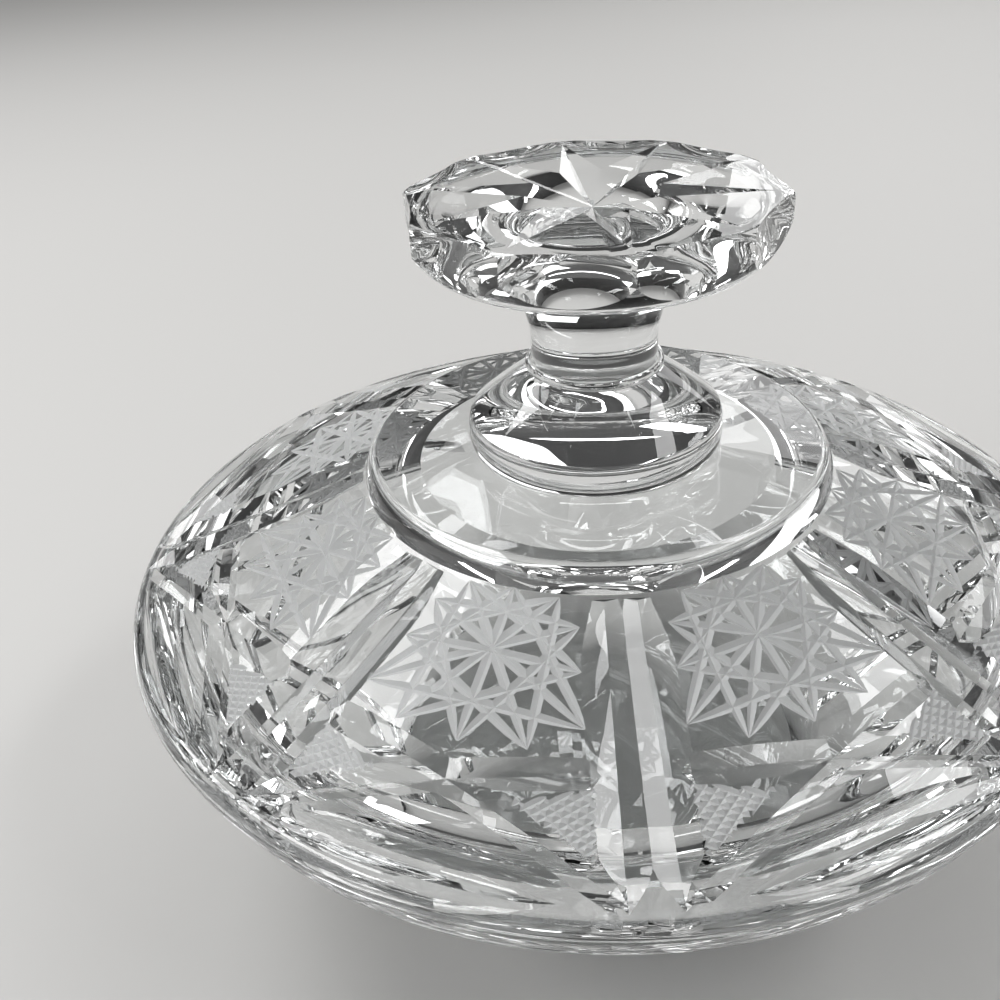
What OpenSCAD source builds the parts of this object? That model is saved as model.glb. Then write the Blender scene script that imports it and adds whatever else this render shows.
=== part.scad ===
// Round cut-crystal candy dish with a lift-off lid.
// The lid has a plain polished top, a cut dome of eight panels and a ten-sided star-cut knob.
// Origin at the centre of the foot, +Z up, lid seated.

/* [Rim] */
// Outside diameter of the lid at its rim
rim_d = 150; // [140:1:170]
// How far the lid's rim stands out past the dish's, all round
rim_lap = 2.4; // [0:0.2:3]
// Radius of the rounded edge of both rims
rim_round = 2.8; // [2:0.2:3.6]

/* [Dish] */
// Height of the dish from the table to its rim
dish_h = 46; // [42:1:56]
// Diameter of the flat foot
foot_d = 76; // [66:1:84]
// Height of the small bevel round the foot
foot_bevel = 2; // [1:0.5:3]
// Glass thickness of the wall, square to its face
dish_wall = 5.5; // [4.5:0.5:7]
// Glass thickness of the base
base_t = 9; // [7:0.5:11]
// Radius inside, between the floor and the wall
floor_round = 8; // [5:0.5:10]
// Diameter of the shallow polished hollow under the base
base_hollow_d = 58; // [40:1:62]
// Depth of that hollow
base_hollow_depth = 1.4; // [0.8:0.1:2.4]

/* [Lid cover] */
// Diameter of the plain polished top
plateau_d = 67.6; // [62:0.2:74]
// Height of the plain top above the rim
plateau_h = 24; // [21:0.5:28]
// Glass thickness under the plain top
plateau_t = 7; // [5:0.5:9]
// Width of the rounded shoulder round the plain top
shoulder_w = 2.4; // [1.6:0.2:3.2]
// Drop of the shoulder to the cut dome
shoulder_drop = 4; // [3:0.5:5]
// Glass thickness of the dome, square to its face
dome_wall = 6; // [5:0.5:7]
// Outside diameter of the ring that drops into the dish
flange_d = 133; // [124:1:134]
// Height of that ring below the rim
flange_h = 3.6; // [2.5:0.1:5]
// Thickness of that ring
flange_t = 5; // [4:0.5:7]
// Gap between the ring and the dish, all round and below
lid_clear = 0.75; // [0.5:0.05:1.2]

/* [Knob] */
// Width of the knob across its corners
knob_d = 54.4; // [46:0.2:60]
// Thickness of the knob's disc
knob_t = 8.9; // [7:0.1:11]
// Height of the knob and its stem above the plain top
knob_h = 38.3; // [34:0.1:44]
// Number of sides, and of rays in the star
knob_sides = 10; // [10]
// Turn of the knob against the line between two panels, as it was set by hand
knob_turn = 6; // [0:1:18]
// Radius of the knob's upper edge
knob_round = 1.6; // [1:0.1:2]
// Radius of the hollow in each side
side_hollow_r = 60; // [40:5:100]
// Depth of the star at its centre
star_depth = 2.4; // [1.6:0.2:3.2]
// Radius of the star's points
star_tip_r = 24.6; // [20:0.1:25]
// Radius at which the uncut tongues between the rays start
star_root_r = 9.8; // [6:0.2:12]
// Drop of the knob's underside from its edge to the stem
under_drop = 3.2; // [1:0.2:4]
// Diameter of the stem at its waist
stem_d = 18.8; // [15:0.2:22]
// Diameter of the turned ring on the stem
stem_ring_d = 20.8; // [20:0.2:24]
// Height of the ring above the plain top
stem_ring_h = 12.9; // [11:0.1:15]
// Diameter of the round base of the stem
stem_base_d = 39.2; // [34:0.2:44]
// Height of the upright side of that base
stem_base_h = 4.8; // [3:0.1:6]

/* [Cuts] */
// Number of panels round the dish and the lid
panels = 8; // [8]
// Slope of the two sides of a flute, which is a wide V
flute_slope = 0.32; // [0.28:0.01:0.36]
// Distance from a flute's keel to its outer edge where it starts
flute_in_w = 1.8; // [1.4:0.1:2.6]
// The same distance where the flute is widest
flute_mid_w = 3.9; // [3.4:0.1:4.2]
// The same distance where it starts to run out towards the rim
flute_out_w = 3; // [2.6:0.1:3.4]
// Distance from a flute's keel to the line between panels, where it starts
flute_in_x = 2.2; // [1.8:0.1:2.6]
// The same distance at the rim
flute_out_x = 3.2; // [2.8:0.1:3.6]
// Distance along the dome from the plain top's shoulder to the blunt end of a flute
flute_top = 0.6; // [0.4:0.1:4]
// Distance along the dish's wall from the foot to the blunt end of a flute
flute_foot = 3; // [1:0.5:6]
// Length over which a flute grows to its full width
flute_lead = 9; // [6:0.5:12]
// Distance along the face from the rim to where a flute starts to run out
flute_end = 6.1; // [5:0.1:9]
// Distance along the face from the rim to the tip of a flute
flute_tip = 0.9; // [0.5:0.1:2]
// Distance along the face from the rim to the low ends of the crossed mitres
mitre_low = 3.8; // [3:0.1:8]
// Distance along the face from the rim to the high ends of the crossed mitres
mitre_high = 17.2; // [14:0.1:22]
// Part of half a panel that the low ends reach out to
mitre_low_part = 0.82; // [0.6:0.01:0.86]
// Part of half a panel that the high ends reach out to
mitre_high_part = 0.73; // [0.6:0.01:0.76]
// Length over which a mitre runs out into the flute at each end
mitre_runout = 3.2; // [2:0.2:4]
// Depth of the crossed mitres
mitre_depth = 1.1; // [0.8:0.05:1.4]
// Slope of the two sides of a mitre
mitre_slope = 0.52; // [0.45:0.01:0.6]
// Distance along the face from the rim to the middle of the oval under each panel
oval_at = 5; // [4.6:0.1:7]
// Radius of the round-edged tool that cuts the oval
oval_r = 4.6; // [4:0.1:8]
// Depth of the oval
oval_depth = 0.85; // [0.5:0.05:1]

/* [Hidden] */
$fn = 96;

crystal = [0.88, 0.92, 0.94, 0.6];
rim_r = rim_d / 2;
edge_r = rim_r - rim_round;
dish_rim_r = rim_r - rim_lap;
dish_edge_r = dish_rim_r - rim_round;
panel_a = 360 / panels;
// How far cutting shapes stand clear of the glass, and how far the V-shaped ones do
over = 4;
over_v = 1;

// Points of a round stretch, counted in steps along the arc
function arc(r, z, radius, from, to, steps = 6) =
    [for (i = [0 : steps]) let (a = from + (to - from) * i / steps)
        [r + radius * cos(a), z + radius * sin(a)]];
// Points of a smooth curve between two ends, each with its handle
function curve(a, ah, bh, b, steps = 7) =
    [for (i = [0 : steps]) let (t = i / steps, s = 1 - t)
        s * s * s * a + 3 * s * s * t * ah + 3 * s * t * t * bh + t * t * t * b];
function unit(v) = v / norm(v);

// Lid cover, heights counted from the rim
plateau_r = plateau_d / 2;
shoulder_r = plateau_r + shoulder_w;
shoulder_z = plateau_h - shoulder_drop;
dome_run = [edge_r - shoulder_r, rim_round - shoulder_z];
dome_a = -atan2(dome_run[1], dome_run[0]) - asin(rim_round / norm(dome_run));
// A conical face: the radius and height of its first edge, its rise per radius, its outward normal,
// the radius of its rim, and how far from its first edge the flutes start
dome_face = [shoulder_r, shoulder_z, -tan(dome_a), sin(dome_a), cos(dome_a), rim_r, flute_top];
function face_z(face, r) = face[1] + (r - face[0]) * face[2];
flange_r = flange_d / 2;
flange_in_r = flange_r - flange_t;
flange_round = 1;
ceiling_z = plateau_h - plateau_t;
function dome_in_z(r) = face_z(dome_face, r) - dome_wall / cos(dome_a);
ceiling_r = shoulder_r + (dome_in_z(shoulder_r) - ceiling_z) / tan(dome_a);

// Dish, heights counted from the table
foot_r = foot_d / 2;
wall_run = [dish_edge_r - foot_r, dish_h - rim_round - foot_bevel];
wall_a = atan2(wall_run[1], wall_run[0]) - asin(rim_round / norm(wall_run));
wall_face = [foot_r, foot_bevel, tan(wall_a), sin(wall_a), -cos(wall_a), dish_rim_r, flute_foot];
mouth_r = flange_r + lid_clear;
mouth_z = dish_h - flange_h - lid_clear;
function wall_in_r(z) = foot_r + (z - foot_bevel - dish_wall / cos(wall_a)) / tan(wall_a);
floor_c = [wall_in_r(base_t + floor_round - floor_round / cos(wall_a)), base_t + floor_round];
base_hollow_r = base_hollow_d / 2;

// Solid through a row of flat outlines; each has the same odd number of points,
// and its middle point sees the rest
module lofted(outlines) {
    m = len(outlines[0]);
    c = (m - 1) / 2;
    last = (len(outlines) - 1) * m;
    walls = [for (i = [0 : m : last - m]) for (j = [0 : m - 1]) let (a = i + j, b = i + (j + 1) % m)
        each [[a, a + m, b + m], [a, b + m, b]]];
    ends = [for (j = [1 : m - 2]) let (a = (c + j) % m, b = (c + j + 1) % m)
        each [[c, a, b], [last + c, last + b, last + a]]];
    polyhedron([for (outline = outlines) each outline], concat(walls, ends));
}

// Star-shaped hollow with its deepest point on the axis; rays start at the given angle
module star_hollow(rays, tip_r, root_r, depth, start) {
    grow = (depth + over) / depth;
    rim = [for (i = [0 : 2 * rays - 1])
        let (a = start + 180 * i / rays, r = grow * (i % 2 == 0 ? tip_r : root_r))
        [r * cos(a), r * sin(a), over]];
    polyhedron(
        concat(rim, [[0, 0, -depth]]),
        concat([[for (i = [2 * rays - 1 : -1 : 0]) i]],
            [for (i = [0 : 2 * rays - 1]) [i, (i + 1) % (2 * rays), 2 * rays]]));
}

// Point raised square off a conical face: x across the panel, y out from the axis
function raised(face, x, y, lift) = let (r = norm([x, y]), grow = 1 + lift * face[3] / r)
    [x * grow, -y * grow, face_z(face, r) + lift * face[4]];
// Point on the face at a part of half a panel and a distance from the rim along the face
function at_part(face, part, from_rim, lift) =
    let (r = face[5] - from_rim * abs(face[4]), a = part * panel_a / 2)
        raised(face, r * sin(a), r * cos(a), lift);

// The pair of flutes on every line between two panels: two wide Vs that meet in a ridge
module flutes(face) {
    up = [0, -face[3], face[4]];
    across = unit(cross(up, [0, -1, face[2]]));
    run = abs(face[4]);
    first = face[0] + face[6] * run;
    at = [first, first + flute_lead * run, face[5] - flute_end * run, face[5] - flute_tip * run];
    widths = [flute_in_w, flute_mid_w, flute_out_w, 0];
    for (k = [0 : panels - 1]) rotate(k * panel_a) lofted([for (i = [0 : 3])
        let (x = flute_in_x + (flute_out_x - flute_in_x) * (at[i] - first) / (face[5] - first),
            rise = over_v + flute_slope * widths[i], half = x + rise / flute_slope,
            keel = raised(face, 0, at[i], -flute_slope * widths[i]))
        [keel + rise * up - half * across, keel - x * across, keel + x * flute_slope * up,
            keel + x * across, keel + rise * up + half * across]]);
}

// One of the two crossed mitres of every panel
module mitres(face, side) {
    up = [0, -face[3], face[4]];
    low = at_part(face, side * mitre_low_part, mitre_low, 0);
    high = at_part(face, -side * mitre_high_part, mitre_high, 0);
    half = (low + high) / 2;
    mid = raised(face, half[0], -half[1], 0);
    across = unit(cross(up, high - low)) / mitre_slope;
    sink = mitre_depth * up;
    keel = [low + mitre_runout * unit(low - mid), low - sink, mid - sink, high - sink,
        high + mitre_runout * unit(high - mid)];
    rise = [for (i = [0 : 4]) over_v + (i % 4 == 0 ? 0 : mitre_depth)];
    for (k = [0 : panels - 1]) rotate((k + 0.5) * panel_a) lofted([for (i = [0 : 4])
        [keel[i] + rise[i] * (up - across), keel[i], keel[i] + rise[i] * (up + across)]]);
}

// The oval at the rim under every panel
module ovals(face) {
    for (k = [0 : panels - 1]) rotate((k + 0.5) * panel_a)
        translate(at_part(face, 0, oval_at, oval_r - oval_depth)) rotate([0, 90, 0])
            cylinder(h = rim_r / 2, r = oval_r, center = true);
}

// Polished cuts of a face, taken one kind after another
module polished_cuts(face) {
    difference() {
        difference() {
            difference() {
                difference() {
                    children();
                    flutes(face);
                }
                mitres(face, -1);
            }
            mitres(face, 1);
        }
        ovals(face);
    }
}

module dish() {
    hollow = (base_hollow_r * base_hollow_r / base_hollow_depth + base_hollow_depth) / 2;
    hollow_a = asin(base_hollow_r / hollow);
    outline = concat(
        arc(0, base_hollow_depth - hollow, hollow, 90, 90 - hollow_a),
        [[foot_r - foot_bevel, 0], [foot_r, foot_bevel]],
        arc(dish_edge_r, dish_h - rim_round, rim_round, wall_a - 90, 90, 8),
        [[mouth_r, dish_h], [mouth_r, mouth_z], [wall_in_r(mouth_z), mouth_z]],
        arc(floor_c[0], floor_c[1], floor_round, wall_a - 90, -90),
        [[0, base_t]]);
    color(crystal) polished_cuts(wall_face) rotate_extrude() polygon(outline);
}

module lid_cover() {
    outline = concat(
        [[0, ceiling_z], [ceiling_r, ceiling_z], [flange_in_r, dome_in_z(flange_in_r)]],
        arc(flange_in_r + flange_round, flange_round - flange_h, flange_round, 180, 270),
        arc(flange_r - flange_round, flange_round - flange_h, flange_round, -90, 0),
        [[flange_r, 0]],
        arc(edge_r, rim_round, rim_round, -90, 90 - dome_a, 8),
        [for (a = [90 : -15 : 0]) [plateau_r + shoulder_w * sin(a), shoulder_z + shoulder_drop * cos(a)]],
        [[0, plateau_h]]);
    color(crystal) translate([0, 0, dish_h]) polished_cuts(dome_face) rotate_extrude() polygon(outline);
}

module lid_knob() {
    blank_r = knob_d / 2 + 0.4;
    under = [knob_d / 2 - 4.7, knob_h - knob_t];
    neck = [stem_d / 2 + 3.6, under[1] - under_drop];
    ring = [stem_ring_d / 2, stem_ring_h];
    ring_round = 0.7;
    waist = [stem_d / 2, ring[1] + 3.6];
    base = [stem_base_d / 2, stem_base_h];
    shoulder = [base[0] - 0.6, base[1] + 0.4];
    outline = concat(
        [[0, 0]],
        curve([base[0] - 0.7, 0], [base[0] + 0.1, 0.9], [base[0] + 0.1, base[1] - 0.8], shoulder),
        curve(shoulder, [base[0] - 2.6, base[1] + 2.1], [ring[0] + 1.6, ring[1] - 2],
            [ring[0] - ring_round, ring[1] - ring_round - 0.1]),
        arc(ring[0] - ring_round, ring[1], ring_round, -80, 80, 4),
        curve([ring[0] - ring_round - 0.2, ring[1] + ring_round], [waist[0] + 0.1, waist[1] - 2],
            [waist[0], waist[1] - 1.2], waist, 4),
        curve(waist, [waist[0], waist[1] + 4], neck - [1.9, 1.9], neck),
        curve(neck, neck + [2.2, 1.4], under - [3, 0.9], under, 5),
        curve(under, under + [2.4, 0.8], [blank_r, knob_h - knob_round - 3.4],
            [blank_r, knob_h - knob_round], 8),
        arc(blank_r - knob_round, knob_h - knob_round, knob_round, 0, 90),
        [[0, knob_h]]);
    side_a = 360 / knob_sides;
    half_side = knob_d / 2 * sin(side_a / 2);
    side_axis = knob_d / 2 * cos(side_a / 2) + sqrt(side_hollow_r * side_hollow_r - half_side * half_side);
    color(crystal) translate([0, 0, dish_h + plateau_h]) difference() {
        rotate_extrude() polygon(outline);
        for (k = [0 : knob_sides - 1]) rotate((k + 0.5) * side_a + knob_turn)
            translate([0, -side_axis, knob_h - knob_t - over])
                cylinder(h = knob_t + 2 * over, r = side_hollow_r, $fn = 240);
        translate([0, 0, knob_h])
            star_hollow(knob_sides, star_tip_r, star_root_r, star_depth, knob_turn - 90);
    }
}

dish();
lid_cover();
lid_knob();
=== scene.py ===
from math import asin, atan2, ceil, cos, degrees, floor, hypot, pi, radians, sin, sqrt, tan

import bmesh
import bpy
from mathutils import Matrix, Vector


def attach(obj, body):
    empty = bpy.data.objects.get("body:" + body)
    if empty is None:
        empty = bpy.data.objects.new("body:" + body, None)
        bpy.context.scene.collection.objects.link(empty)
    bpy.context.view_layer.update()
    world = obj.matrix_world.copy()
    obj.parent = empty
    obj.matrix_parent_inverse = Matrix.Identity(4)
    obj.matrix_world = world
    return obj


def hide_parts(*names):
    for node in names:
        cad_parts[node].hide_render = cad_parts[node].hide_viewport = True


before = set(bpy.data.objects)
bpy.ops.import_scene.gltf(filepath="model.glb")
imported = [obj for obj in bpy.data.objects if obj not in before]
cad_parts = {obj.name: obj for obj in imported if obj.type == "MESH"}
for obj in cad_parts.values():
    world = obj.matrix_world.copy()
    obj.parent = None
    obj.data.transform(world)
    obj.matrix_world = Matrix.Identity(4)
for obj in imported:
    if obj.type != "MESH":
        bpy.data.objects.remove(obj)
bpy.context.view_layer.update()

# Dish: a thick round bowl of clear lead crystal, blown in a mould and then cut on the outside.
# Pairs of flutes part it into eight panels, and each panel has crossed mitres and an oval at the rim.
# The lid rests on its flat rim, and the underside of the base has a shallow polished hollow.
MM = 0.001
PANELS = 8
PANEL = 360 / PANELS
RIM_R, DISH_RIM_R, RIM_ROUND = 75.0, 72.6, 2.8
DISH_H, FOOT_R, FOOT_BEVEL = 46.0, 38.0, 2.0
DISH_WALL, BASE_T, FLOOR_ROUND = 5.5, 9.0, 8.0
MOUTH_R, MOUTH_DEPTH, SEAT_GAP = 67.25, 4.35, 0.06
BASE_HOLLOW_R, BASE_HOLLOW_DEPTH = 29.0, 1.4
WALL_FLUTE_START = 3.0
ROUND_STEPS, WALL_STEPS, BOWL_STEPS = 288, 24, 12


def linear(hex_colour):
    """Linear RGBA of an sRGB hex colour."""
    channels = [int(hex_colour[i:i + 2], 16) / 255 for i in (1, 3, 5)]
    return [c / 12.92 if c <= 0.04045 else ((c + 0.055) / 1.055) ** 2.4 for c in channels] + [1.0]


def add_node(tree, kind, settings=None, **links):
    """Adds a node, with its settings by property name and its inputs by value or by another node's output."""
    node = tree.nodes.new(kind)
    for name, value in (settings or {}).items():
        setattr(node, name, value)
    for name, value in links.items():
        socket = node.inputs[name.replace("_", " ")]
        if isinstance(value, bpy.types.NodeSocket):
            tree.links.new(value, socket)
        else:
            socket.default_value = value
    return node


def new_tree(name):
    """A material with an empty node tree, and its output node."""
    material = bpy.data.materials.new(name)
    material.use_nodes = True
    material.node_tree.nodes.clear()
    return material, material.node_tree, material.node_tree.nodes.new("ShaderNodeOutputMaterial")


def polished_crystal():
    """Clear lead crystal, cut and acid polished: no grain, but a faint ripple a few millimetres long.
    Lamps shine through it, as they do through real glass of this thickness."""
    material, tree, output = new_tree("polished_lead_crystal")
    place = add_node(tree, "ShaderNodeTexCoord")
    ripple = add_node(tree, "ShaderNodeTexNoise", Vector=place.outputs["Object"], Scale=1 / (9 * MM),
                      Detail=1.0)
    bump = add_node(tree, "ShaderNodeBump", Strength=0.03, Distance=0.25 * MM, Height=ripple.outputs["Fac"])
    glass = add_node(tree, "ShaderNodeBsdfPrincipled", Base_Color=linear("#FDFEFE"), Roughness=0.0,
                     IOR=1.545, Transmission_Weight=1.0, Normal=bump.outputs["Normal"])
    through = add_node(tree, "ShaderNodeBsdfTransparent", Color=linear("#808282"))
    ray = add_node(tree, "ShaderNodeLightPath")
    both = add_node(tree, "ShaderNodeMixShader", Fac=ray.outputs["Is Shadow Ray"])
    tree.links.new(glass.outputs[0], both.inputs[1])
    tree.links.new(through.outputs[0], both.inputs[2])
    tree.links.new(both.outputs[0], output.inputs["Surface"])
    return material


polished = polished_crystal()


def arc(r, z, radius, start, end, steps=16):
    """Points of a round stretch of an outline, by angle in degrees."""
    angles = [radians(start + (end - start) * i / steps) for i in range(steps + 1)]
    return [(r + radius * cos(a), z + radius * sin(a)) for a in angles]


def straight(a, b, steps):
    """Points between two points of an outline, without its ends."""
    return [(a[0] + (b[0] - a[0]) * i / steps, a[1] + (b[1] - a[1]) * i / steps) for i in range(1, steps)]


def as_object(name, bm, material):
    """Makes a bmesh an object of one material at the origin."""
    mesh = bpy.data.meshes.new(name)
    bm.to_mesh(mesh)
    bm.free()
    mesh.materials.append(material)
    piece = bpy.data.objects.new(name, mesh)
    bpy.context.scene.collection.objects.link(piece)
    return piece


CLOSE = 1e-4


def turned(name, outline, steps):
    """A piece of polished crystal, turned round the Z axis from an outline that starts and ends on it."""
    bm = bmesh.new()
    verts = [bm.verts.new((r, 0, z)) for r, z in outline]
    edges = [bm.edges.new(pair) for pair in zip(verts, verts[1:])]
    bmesh.ops.spin(bm, geom=verts + edges, cent=(0, 0, 0), axis=(0, 0, 1), angle=2 * pi, steps=steps,
                   use_merge=True)
    bmesh.ops.remove_doubles(bm, verts=bm.verts, dist=CLOSE)
    bmesh.ops.dissolve_degenerate(bm, edges=bm.edges, dist=CLOSE)
    bmesh.ops.recalc_face_normals(bm, faces=bm.faces)
    return as_object(name, bm, polished)


def cut(piece, *cutters, operation="DIFFERENCE"):
    """Takes each cutter out of the piece, or joins it on; the new faces keep the cutter's material."""
    for cutter in cutters:
        step = piece.modifiers.new("cut", "BOOLEAN")
        step.object, step.operation = cutter, operation
        step.solver, step.material_mode = "MANIFOLD", "TRANSFER"
        solid = bpy.data.meshes.new_from_object(piece.evaluated_get(bpy.context.evaluated_depsgraph_get()))
        piece.modifiers.clear()
        piece.data = solid
        bpy.data.objects.remove(cutter)


def round_panels(bm, start=0.0):
    """Repeats what the bmesh holds round the axis, once for each panel."""
    first = bm.verts[:] + bm.edges[:] + bm.faces[:]
    bmesh.ops.rotate(bm, verts=bm.verts, cent=(0, 0, 0), matrix=Matrix.Rotation(radians(start), 3, "Z"))
    for k in range(1, PANELS):
        copy = bmesh.ops.duplicate(bm, geom=first)["geom"]
        bmesh.ops.rotate(bm, verts=[v for v in copy if isinstance(v, bmesh.types.BMVert)], cent=(0, 0, 0),
                         matrix=Matrix.Rotation(radians(k * PANEL), 3, "Z"))
    return bm


class Face:
    """A conical outside face: its first edge, its rise per radius and its outward normal."""

    def __init__(self, r, z, slope, up, rim_r):
        self.r, self.z, self.rise, self.rim_r = r, z, -up * tan(slope), rim_r
        self.out, self.up = sin(slope), up * cos(slope)

    def normal(self, azimuth):
        """The outward normal at an angle from -Y towards +X, in radians."""
        return Vector((self.out * sin(azimuth), -self.out * cos(azimuth), self.up))

    def point(self, degrees_round, r, lift=0.0):
        """The point at an angle from -Y towards +X and at a radius, lifted square to the face."""
        a = radians(degrees_round)
        return Vector((r * sin(a), -r * cos(a), self.z + (r - self.r) * self.rise)) + lift * self.normal(a)

    def from_rim(self, distance):
        """The radius at a distance from the rim along the face."""
        return self.rim_r - distance * abs(self.up)

    def spot(self, across, distance):
        """The point at a distance from a panel's middle line and at one from the rim along the face."""
        r = self.from_rim(distance)
        return self.point(degrees(asin(across / r)), r)


def wedge(bm, outlines):
    """A solid drawn through a row of flat outlines, which have the same number of points each."""
    end = bm.faces.new([bm.verts.new(point) for point in outlines[0]])
    for i, (before, after) in enumerate(zip(outlines, outlines[1:])):
        drawn = bmesh.ops.extrude_face_region(bm, geom=[end])["geom"]
        if i > 0:
            bmesh.ops.delete(bm, geom=[end], context="FACES_ONLY")
        for v in (part for part in drawn if isinstance(part, bmesh.types.BMVert)):
            v.co = min(zip(before, after), key=lambda pair: (v.co - pair[0]).length)[1]
        end = next(part for part in drawn if isinstance(part, bmesh.types.BMFace))
    bmesh.ops.recalc_face_normals(bm, faces=bm.faces)


def swell(marks, widths, steps):
    """Widths along a line, read from a smooth curve through the marks."""
    tilt = [(widths[1] - widths[0]) / (marks[1] - marks[0])]
    tilt += [(c - a) / (z - x) for a, c, x, z in zip(widths, widths[2:], marks, marks[2:])]
    tilt.append((widths[-1] - widths[-2]) / (marks[-1] - marks[-2]))
    rows = []
    for i, (x, y) in enumerate(zip(marks, marks[1:])):
        for t in [k / steps for k in range(steps)]:
            rows.append((x + (y - x) * t, widths[i] * (1 + 2 * t) * (1 - t) ** 2
                         + widths[i + 1] * t * t * (3 - 2 * t)
                         + (y - x) * (tilt[i] * t * (1 - t) ** 2 - tilt[i + 1] * t * t * (1 - t))))
    return rows + [(marks[-1], widths[-1])]


FLUTE_SLOPE, FLUTE_WIDTHS, FLUTE_STEPS = 0.32, (1.8, 3.9, 3.0, 0.0), 6
FLUTE_IN_X, FLUTE_OUT_X = 2.2, 3.2
FLUTE_LEAD, FLUTE_END, FLUTE_TIP = 9.0, 6.1, 0.9
OVAL_R, OVAL_DEPTH, OVAL_AT, OVAL_STEPS = 4.6, 0.85, 5.0, 128
MITRE_LOW, MITRE_HIGH, MITRE_RUNOUT = 3.8, 17.2, 3.2
MITRE_LOW_PART, MITRE_HIGH_PART = 0.82, 0.73
MITRE_SLOPE, MITRE_DEPTH, MITRE_STEPS = 0.52, 1.1, 16
OVER = 1.0


def flutes(face, start):
    """The pair of flutes between two panels: wide Vs that meet in a ridge.
    They are blunt at first and run out at the rim."""
    first = face.r + start * abs(face.up)
    marks = [first, first + FLUTE_LEAD * abs(face.up), face.from_rim(FLUTE_END), face.from_rim(FLUTE_TIP)]
    up, across = face.normal(0), Vector((1, 0, 0))
    outlines = []
    for r, width in swell(marks, FLUTE_WIDTHS, FLUTE_STEPS):
        x = FLUTE_IN_X + (FLUTE_OUT_X - FLUTE_IN_X) * (r - first) / (face.rim_r - first)
        keel = face.point(0, r, -FLUTE_SLOPE * width)
        rise = OVER + FLUTE_SLOPE * width
        half = x + rise / FLUTE_SLOPE
        outlines.append([keel + rise * up - half * across, keel - x * across, keel + x * FLUTE_SLOPE * up,
                         keel + x * across, keel + rise * up + half * across])
    bm = bmesh.new()
    wedge(bm, outlines)
    return as_object("flutes", round_panels(bm), polished)


def mitres(face, side):
    """One of the two crossed mitres of each panel, a V of even depth that runs out into the flutes."""
    low = face.point(side * MITRE_LOW_PART * PANEL / 2, face.from_rim(MITRE_LOW))
    high = face.point(-side * MITRE_HIGH_PART * PANEL / 2, face.from_rim(MITRE_HIGH))
    along, length = (high - low).normalized(), (high - low).length
    outlines = []
    for i in range(MITRE_STEPS + 1):
        s = (length + 2 * MITRE_RUNOUT) * i / MITRE_STEPS
        p = low + along * (s - MITRE_RUNOUT)
        azimuth = atan2(p.x, -p.y)
        up = face.normal(azimuth)
        across = up.cross(along).normalized() / MITRE_SLOPE
        sink = MITRE_DEPTH * min(1, s / MITRE_RUNOUT, (length + 2 * MITRE_RUNOUT - s) / MITRE_RUNOUT)
        keel = face.point(degrees(azimuth), hypot(p.x, p.y), -sink)
        rise = OVER + sink
        outlines.append([keel + rise * (up - across), keel, keel + rise * (up + across)])
    bm = bmesh.new()
    wedge(bm, outlines)
    return as_object("mitres", round_panels(bm, PANEL / 2), polished)


def ovals(face):
    """The oval at the rim of each panel."""
    bm = bmesh.new()
    bmesh.ops.create_cone(bm, cap_ends=True, segments=OVAL_STEPS, radius1=OVAL_R, radius2=OVAL_R,
                          depth=RIM_R / 2)
    bmesh.ops.transform(bm, verts=bm.verts, matrix=Matrix.Translation(
        face.point(0, face.from_rim(OVAL_AT), OVAL_R - OVAL_DEPTH)) @ Matrix.Rotation(pi / 2, 4, "Y"))
    return as_object("ovals", round_panels(bm, PANEL / 2), polished)


def brush_off(piece):
    """Drops the tiny loose chips that crossing cuts set free."""
    bm = bmesh.new()
    bm.from_mesh(piece.data)
    reached = {max(bm.verts, key=lambda v: hypot(v.co.x, v.co.y))}
    front = list(reached)
    while front:
        v = front.pop()
        fresh = {e.other_vert(v) for e in v.link_edges} - reached
        reached |= fresh
        front += fresh
    bmesh.ops.delete(bm, geom=[v for v in bm.verts if v not in reached], context="VERTS")
    bm.to_mesh(piece.data)
    bm.free()


SHARP_FROM = 14


def finish_glass(piece, body, *nodes):
    """Scales the piece to metres, shades it smooth between its cut edges, and lets it stand for its solid."""
    brush_off(piece)
    piece.data.transform(Matrix.Scale(MM, 4))
    piece.data.shade_smooth()
    piece.data.set_sharp_from_angle(angle=radians(SHARP_FROM))
    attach(piece, body)
    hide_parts(*nodes)


dish_edge_r = DISH_RIM_R - RIM_ROUND
run = (dish_edge_r - FOOT_R, DISH_H - RIM_ROUND - FOOT_BEVEL)
wall_slope = atan2(run[1], run[0]) - asin(RIM_ROUND / hypot(*run))
wall = Face(FOOT_R, FOOT_BEVEL, wall_slope, -1, DISH_RIM_R)


def wall_inside(z):
    """The radius of the wall's inside at a height."""
    return FOOT_R + (z - FOOT_BEVEL - DISH_WALL / cos(wall_slope)) / tan(wall_slope)


mouth_z = DISH_H - MOUTH_DEPTH
floor_r = wall_inside(BASE_T + FLOOR_ROUND - FLOOR_ROUND / cos(wall_slope))
dish_rim = arc(dish_edge_r, DISH_H - RIM_ROUND, RIM_ROUND, degrees(wall_slope) - 90, 90)
bowl = arc(floor_r, BASE_T + FLOOR_ROUND, FLOOR_ROUND, degrees(wall_slope) - 90, -90)
ledge = (wall_inside(mouth_z), mouth_z)
hollow_r = (BASE_HOLLOW_R ** 2 / BASE_HOLLOW_DEPTH + BASE_HOLLOW_DEPTH) / 2
base = arc(0, BASE_HOLLOW_DEPTH - hollow_r, hollow_r, 90, 90 - degrees(asin(BASE_HOLLOW_R / hollow_r)))
base += [(FOOT_R - FOOT_BEVEL, 0), (FOOT_R, FOOT_BEVEL)]
dish = turned("cut_dish", base + straight(base[-1], dish_rim[0], WALL_STEPS) + dish_rim
              + [(MOUTH_R, DISH_H), (MOUTH_R, mouth_z), ledge] + straight(ledge, bowl[0], BOWL_STEPS) + bowl
              + [(0, BASE_T)], ROUND_STEPS)
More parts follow.
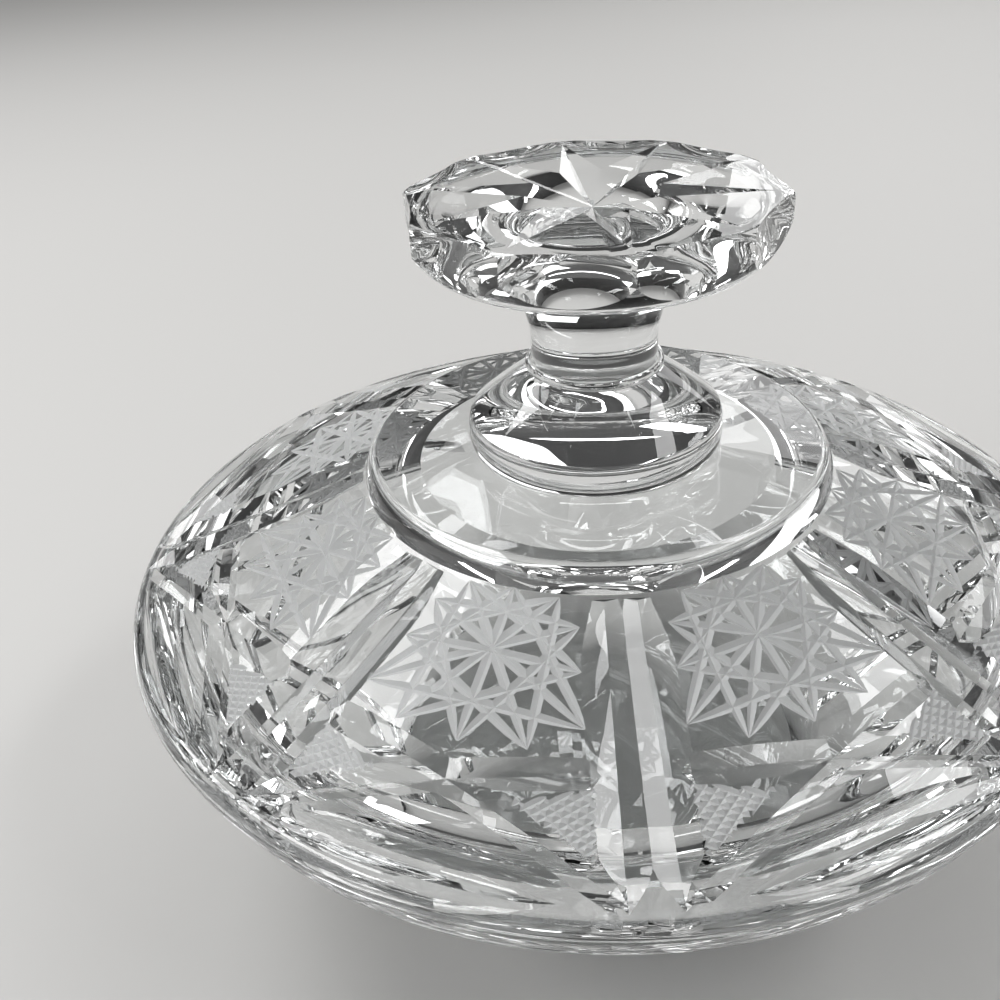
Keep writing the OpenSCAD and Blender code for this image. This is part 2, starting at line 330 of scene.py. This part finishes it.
cut(dish, flutes(wall, WALL_FLUTE_START), mitres(wall, -1), mitres(wall, 1), ovals(wall))
finish_glass(dish, "dish", "dish")

# Lid cover: one thick piece of crystal with a plain polished top, a cut dome and a rounded rim.
# A ring under the rim drops into the dish and keeps the lid in place.
# The star in each panel and the fine diamonds beside the flutes are left matt from the wheel.
PLATEAU_R, PLATEAU_H, PLATEAU_T = 33.8, 24.0, 7.0
SHOULDER_W, SHOULDER_DROP = 2.4, 4.0
DOME_WALL = 6.0
FLANGE_R, FLANGE_IN_R, FLANGE_H, FLANGE_ROUND = 66.5, 61.5, 3.6, 1.0
DOME_FLUTE_START = 0.6
HOLLOW_STEPS, FLANGE_STEPS, DOME_STEPS = 24, 8, 28

edge_r = RIM_R - RIM_ROUND
shoulder = (PLATEAU_R + SHOULDER_W, DISH_H + PLATEAU_H - SHOULDER_DROP)
run = (edge_r - shoulder[0], DISH_H + RIM_ROUND - shoulder[1])
dome_slope = -atan2(run[1], run[0]) - asin(RIM_ROUND / hypot(*run))
dome = Face(shoulder[0], shoulder[1], dome_slope, 1, RIM_R)
ceiling = DISH_H + PLATEAU_H - PLATEAU_T


def dome_inside(r):
    """The height of the dome's inside at a radius."""
    return dome.z + (r - dome.r) * dome.rise - DOME_WALL / cos(dome_slope)


ceiling_r = dome.r + (ceiling - dome_inside(dome.r)) / dome.rise
flange_low = DISH_H - FLANGE_H + FLANGE_ROUND
lid_rim = arc(edge_r, DISH_H + RIM_ROUND, RIM_ROUND, -90, 90 - degrees(dome_slope))
lid_rim[0] = (edge_r, DISH_H + SEAT_GAP)
shoulder_round = [(PLATEAU_R + SHOULDER_W * sin(radians(a)), shoulder[1] + SHOULDER_DROP * cos(radians(a)))
                  for a in range(90, -1, -6)]
hollow = (FLANGE_IN_R, dome_inside(FLANGE_IN_R))
cover = turned("cut_lid", [(0, ceiling), (ceiling_r, ceiling)]
               + straight((ceiling_r, ceiling), hollow, HOLLOW_STEPS) + [hollow]
               + arc(FLANGE_IN_R + FLANGE_ROUND, flange_low, FLANGE_ROUND, 180, 270, FLANGE_STEPS)
               + arc(FLANGE_R - FLANGE_ROUND, flange_low, FLANGE_ROUND, -90, 0, FLANGE_STEPS)
               + [(FLANGE_R, DISH_H + SEAT_GAP)] + lid_rim
               + straight(lid_rim[-1], shoulder_round[0], DOME_STEPS) + shoulder_round
               + [(0, DISH_H + PLATEAU_H)], ROUND_STEPS)


def ground_crystal():
    """Crystal left as the stone wheel ground it: matt and pale grey, scattering light from all round.
    Its grit is drawn coarser than the real one, so that it shows."""
    material, tree, output = new_tree("ground_lead_crystal")
    place = add_node(tree, "ShaderNodeTexCoord")
    grit = add_node(tree, "ShaderNodeTexNoise", Vector=place.outputs["Object"], Scale=1 / (0.35 * MM),
                    Detail=2.0)
    bump = add_node(tree, "ShaderNodeBump", Strength=0.5, Distance=0.08 * MM, Height=grit.outputs["Fac"])
    glass = add_node(tree, "ShaderNodeBsdfPrincipled", Base_Color=linear("#D6D7D7"), Roughness=0.75,
                     IOR=1.545, Transmission_Weight=0.35, Normal=bump.outputs["Normal"])
    tree.links.new(glass.outputs[0], output.inputs["Surface"])
    return material


ground = ground_crystal()


def spindle(bm, face, p, q, width, depth, blunt):
    """A cut by a V-edged wheel between two points of the face, deepest half way and pointed at both ends."""
    middle = (p + q) / 2
    along = (q - p).normalized()
    azimuth = atan2(middle.x, -middle.y)
    up = face.normal(azimuth)
    up = (up - up.dot(along) * along).normalized()
    across = up.cross(along)
    skin = face.point(degrees(azimuth), hypot(middle.x, middle.y))
    bulge = (skin - middle).dot(up)
    spare, clear = 0.6, 0.4
    half = (q - p).length / 2
    for v in bmesh.ops.create_uvsphere(bm, u_segments=4, v_segments=12, radius=1.0)["verts"]:
        t = max(-1.0, min(1.0, v.co.z))
        out = max(hypot(v.co.x, v.co.y), 0.01)
        x, y = round(v.co.x / out), round(v.co.y / out)
        full = 1 - abs(t) ** blunt
        height = {1: 2 * spare * depth + clear, 0: spare * depth, -1: -depth}[y] * full + bulge * (1 - t * t)
        v.co = middle + along * half * t + across * x * width / 2 * (1 + spare) * full + up * height


# The hatching comes first, so that the polished cuts leave it clean edges.
HATCH, HATCH_PITCH, HATCH_LEANS = [(18.4, 15.9), (4.8, 11.8), (20.7, 5.8)], 1.1, (38, 142)
HATCH_W, HATCH_DEPTH, HATCH_BLUNT, HATCH_SHORTEST = 1.0, 0.34, 6, 0.9
for lean in HATCH_LEANS:
    bm = bmesh.new()
    for mirror in (-1, 1):
        line = Vector((mirror * cos(radians(lean)), sin(radians(lean))))
        square = Vector((-line.y, line.x))
        corners = [Vector((mirror * x, d)) for x, d in HATCH]
        spread = [c.dot(square) / HATCH_PITCH for c in corners]
        for k in range(ceil(min(spread)), floor(max(spread)) + 1):
            ends = []
            for i in range(3):
                c, d, s, t = corners[i], corners[(i + 1) % 3], spread[i], spread[(i + 1) % 3]
                if min(s, t) < k < max(s, t):
                    ends.append(c + (d - c) * (k - s) / (t - s))
            if len(ends) == 2 and (ends[1] - ends[0]).length > HATCH_SHORTEST:
                spindle(bm, dome, dome.spot(*ends[0]), dome.spot(*ends[1]), HATCH_W, HATCH_DEPTH, HATCH_BLUNT)
    cut(cover, as_object("hatch", round_panels(bm, PANEL / 2), ground))
cut(cover, flutes(dome, DOME_FLUTE_START), mitres(dome, -1), mitres(dome, 1), ovals(dome))

STAR_HALF = [(0.0, 19.2), (8.8, 19.7), (14.9, 22.8), (12.2, 30.5), (10.2, 36.9), (6.4, 41.2), (0.0, 41.9)]
STAR = STAR_HALF + [(-x, d) for x, d in STAR_HALF[5:0:-1]]
STAR_LINE_W, STAR_LINE_DEPTH, STAR_LINE_BLUNT = 1.4, 0.5, 5
for a, b in [(i, i + 4) for i in range(12)] + [(i, i + 6) for i in range(6)]:
    bm = bmesh.new()
    spindle(bm, dome, dome.spot(*STAR[a]), dome.spot(*STAR[b % 12]), STAR_LINE_W, STAR_LINE_DEPTH,
            STAR_LINE_BLUNT)
    cut(cover, as_object("star_line", round_panels(bm, PANEL / 2), ground))

# Lid knob: a ten-sided disc on a turned stem, drawn from its own gather of crystal.
# It is joined hot to the plain top, so in the glass no seam shows between the two.
# Its sides are slightly hollow, and a star of ten rays runs from the middle of the top to the corners.
KNOB_R, KNOB_T, KNOB_H, KNOB_SIDES = 27.2, 8.9, 38.3, 10
KNOB_TURN, KNOB_ROUND, SIDE_HOLLOW_R = 6.0, 1.6, 60.0
KNOB_STAR_TIP, KNOB_STAR_ROOT, KNOB_STAR_DEPTH = 24.6, 9.8, 2.4
STEM_R, STEM_RING_R, STEM_RING_H, STEM_BASE_R, STEM_BASE_H = 9.4, 10.4, 12.9, 19.6, 4.8
UNDER_IN, NECK_OUT, NECK_DROP, WAIST_RISE = 4.7, 3.6, 3.2, 3.6
BASE_IN, BASE_TOP_IN, BASE_TOP_RISE = 0.7, 0.6, 0.4
RING_ROUND, JOIN, SPARE = 0.7, 0.5, 0.4
KNOB_STEPS, SIDE_STEPS, SIDE_SPARE = 240, 720, 8


def curve(a, a_handle, b_handle, b, steps=20):
    """Points of a smooth stretch of an outline between two ends with handles."""
    points = []
    for i in range(steps + 1):
        t, s = i / steps, 1 - i / steps
        points.append(tuple(s ** 3 * a[k] + 3 * s * s * t * a_handle[k] + 3 * s * t * t * b_handle[k]
                            + t ** 3 * b[k] for k in (0, 1)))
    return points


def star_hollow(rays, tip_r, root_r, depth, over=4.0):
    """A star-shaped hollow, deepest on the axis, as a cutter whose top face lies above z = 0."""
    bm = bmesh.new()
    grow = (depth + over) / depth
    bmesh.ops.create_cone(bm, cap_ends=True, segments=2 * rays, radius1=0, radius2=tip_r * grow,
                          depth=depth + over, matrix=Matrix.Translation((0, 0, (over - depth) / 2)))
    bmesh.ops.remove_doubles(bm, verts=bm.verts, dist=CLOSE)
    for v in bm.verts:
        step = round(degrees(atan2(v.co.x, -v.co.y)) / (180 / rays))
        if v.co.z > 0 and step % 2:
            v.co.x, v.co.y = v.co.x * root_r / tip_r, v.co.y * root_r / tip_r
    bmesh.ops.recalc_face_normals(bm, faces=bm.faces)
    return as_object("star", bm, polished)


plateau = DISH_H + PLATEAU_H
blank_r = KNOB_R + SPARE
under = (KNOB_R - UNDER_IN, KNOB_H - KNOB_T)
neck = (STEM_R + NECK_OUT, under[1] - NECK_DROP)
ring = (STEM_RING_R, STEM_RING_H)
waist = (STEM_R, ring[1] + WAIST_RISE)
base_top = (STEM_BASE_R - BASE_TOP_IN, STEM_BASE_H + BASE_TOP_RISE)
outline = ([(0, -JOIN), (STEM_BASE_R - BASE_IN, -JOIN)]
           + curve((STEM_BASE_R - BASE_IN, 0), (STEM_BASE_R + 0.1, 0.9),
                   (STEM_BASE_R + 0.1, STEM_BASE_H - 0.8), base_top)
           + curve(base_top, (STEM_BASE_R - 2.6, STEM_BASE_H + 2.1), (ring[0] + 1.6, ring[1] - 2),
                   (ring[0] - RING_ROUND, ring[1] - RING_ROUND - 0.1))[1:]
           + arc(ring[0] - RING_ROUND, ring[1], RING_ROUND, -80, 80, 10)
           + curve((ring[0] - RING_ROUND - 0.2, ring[1] + RING_ROUND), (waist[0] + 0.1, waist[1] - 2),
                   (waist[0], waist[1] - 1.2), waist, 10)
           + curve(waist, (waist[0], waist[1] + 4), (neck[0] - 1.9, neck[1] - 1.9), neck)[1:]
           + curve(neck, (neck[0] + 2.2, neck[1] + 1.4), (under[0] - 3, under[1] - 0.9), under, 16)[1:]
           + curve(under, (under[0] + 2.4, under[1] + 0.8), (blank_r, KNOB_H - KNOB_ROUND - 3.4),
                   (blank_r, KNOB_H - KNOB_ROUND), 16)[1:]
           + arc(blank_r - KNOB_ROUND, KNOB_H - KNOB_ROUND, KNOB_ROUND, 0, 90, 8)[1:] + [(0, KNOB_H)])
knob = turned("cut_knob", [(r, z + plateau) for r, z in outline], KNOB_STEPS)
half_side = KNOB_R * sin(pi / KNOB_SIDES)
side_axis = KNOB_R * cos(pi / KNOB_SIDES) + sqrt(SIDE_HOLLOW_R ** 2 - half_side ** 2)
for k in range(KNOB_SIDES):
    bm = bmesh.new()
    bmesh.ops.create_cone(bm, cap_ends=True, segments=SIDE_STEPS, radius1=SIDE_HOLLOW_R,
                          radius2=SIDE_HOLLOW_R, depth=KNOB_T + SIDE_SPARE)
    bmesh.ops.translate(bm, verts=bm.verts, vec=(0, -side_axis, plateau + KNOB_H - KNOB_T / 2))
    bmesh.ops.rotate(bm, verts=bm.verts, cent=(0, 0, 0), matrix=Matrix.Rotation(
        (k + 0.5) * 2 * pi / KNOB_SIDES + radians(KNOB_TURN), 3, "Z"))
    cut(knob, as_object("side", bm, polished))
knob_star = star_hollow(KNOB_SIDES, KNOB_STAR_TIP, KNOB_STAR_ROOT, KNOB_STAR_DEPTH)
knob_star.data.transform(Matrix.Translation((0, 0, plateau + KNOB_H))
                         @ Matrix.Rotation(radians(KNOB_TURN), 4, "Z"))
cut(knob, knob_star)
cut(cover, knob, operation="UNION")
finish_glass(cover, "lid", "lid_cover", "lid_knob")

# Floor: a wide pale sheet of matt paint that runs past the picture, with no edge in sight.
# It lies a hair below the foot, because glass that touches it would render black there.
FLOOR_R, FLOOR_GAP, FLOOR_STEPS, MOTTLE = 4.0, 0.1 * MM, 96, 3.0
bm = bmesh.new()
bmesh.ops.create_circle(bm, cap_ends=True, segments=FLOOR_STEPS, radius=FLOOR_R)
floor_material, tree, output = new_tree("pale_floor")
place = add_node(tree, "ShaderNodeTexCoord")
mottle = add_node(tree, "ShaderNodeTexNoise", Vector=place.outputs["Object"], Scale=MOTTLE, Detail=3.0)
tone = add_node(tree, "ShaderNodeMix", {"data_type": "RGBA"}, Factor=mottle.outputs["Fac"])
tone.inputs[6].default_value, tone.inputs[7].default_value = linear("#CCCBC9"), linear("#D0CFCD")
paint = add_node(tree, "ShaderNodeBsdfPrincipled", Base_Color=tone.outputs[2], Roughness=0.6)
tree.links.new(paint.outputs[0], output.inputs["Surface"])
bmesh.ops.translate(bm, verts=bm.verts, vec=(0, 0, -FLOOR_GAP))
floor_sheet = as_object("floor", bm, floor_material)

# Light: a soft lamp above and behind, long strips at both sides and behind, and a low panel behind.
# The room is dim, so that the glass keeps its dark lines; matt surfaces get more of the room's light.
ROOM_FILL, LAMP_AIM = 3.2, Vector((0, 0, 0.05))
world = bpy.data.worlds.new("studio")
bpy.context.scene.world = world
world.use_nodes = True
world.node_tree.nodes.clear()
tree = world.node_tree
place = add_node(tree, "ShaderNodeTexCoord")
height = add_node(tree, "ShaderNodeSeparateXYZ", Vector=place.outputs["Generated"])
ramp = add_node(tree, "ShaderNodeValToRGB", Fac=height.outputs["Z"])
ramp.color_ramp.elements[0].position, ramp.color_ramp.elements[0].color = 0.0, linear("#101010")
ramp.color_ramp.elements[1].position, ramp.color_ramp.elements[1].color = 1.0, linear("#606060")
ray = add_node(tree, "ShaderNodeLightPath")
fill = add_node(tree, "ShaderNodeMath", {"operation": "MULTIPLY_ADD"})
tree.links.new(ray.outputs["Is Diffuse Ray"], fill.inputs[0])
fill.inputs[1].default_value, fill.inputs[2].default_value = ROOM_FILL, 1.0
room = add_node(tree, "ShaderNodeBackground", Color=ramp.outputs["Color"], Strength=fill.outputs[0])
tree.links.new(room.outputs[0], add_node(tree, "ShaderNodeOutputWorld").inputs["Surface"])

for name, spot, wide, long, watts in (("key", (-0.55, 0.45, 0.95), 0.5, 0.5, 5.4),
                                      ("left_strip", (-0.8, -0.15, 0.65), 0.9, 0.15, 3.5),
                                      ("right_strip", (0.665, -0.108, 0.88), 0.9, 0.16, 3.0),
                                      ("back_panel", (0.5, 0.9, 0.45), 0.6, 0.4, 1.6),
                                      ("back_strip", (0.07, 0.78, 0.84), 0.75, 0.05, 0.7)):
    lamp = bpy.data.lights.new(name, "AREA")
    lamp.shape, lamp.size, lamp.size_y, lamp.energy = "RECTANGLE", wide, long, watts
    holder = bpy.data.objects.new(name, lamp)
    holder.location = spot
    holder.rotation_euler = (LAMP_AIM - Vector(spot)).to_track_quat("-Z", "Y").to_euler()
    bpy.context.scene.collection.objects.link(holder)

# Camera: a close view from above, fitted to the knob, the plain top and the rim in the photograph.
# The focal length is in widths of the picture, and the eye's place is in millimetres.
FOCAL, SENSOR, NEAREST = 1.1, 36.0, 5 * MM
EYE, PAN, TILT, ROLL = (-12.9, -150.4, DISH_H + 108.1), -0.99, 32.39, -3.76
pan, tilt, roll = radians(PAN), radians(TILT), radians(ROLL)
ahead = Vector((sin(pan) * cos(tilt), cos(pan) * cos(tilt), -sin(tilt)))
level = Vector((cos(pan), -sin(pan), 0))
upright = level.cross(ahead)
right = cos(roll) * level + sin(roll) * upright
up = -sin(roll) * level + cos(roll) * upright
camera = bpy.data.objects.new("camera", bpy.data.cameras.new("camera"))
camera.data.sensor_width, camera.data.lens = SENSOR, SENSOR * FOCAL
camera.data.clip_start = NEAREST
turn = Matrix((right, up, -ahead)).transposed().to_4x4()
camera.matrix_world = Matrix.Translation(Vector(EYE) * MM) @ turn
bpy.context.scene.collection.objects.link(camera)
bpy.context.scene.camera = camera
bpy.context.scene.view_settings.view_transform = "Standard"
bpy.context.scene.cycles.max_bounces = 32
bpy.context.scene.cycles.transmission_bounces = 32
bpy.context.scene.cycles.glossy_bounces = 12
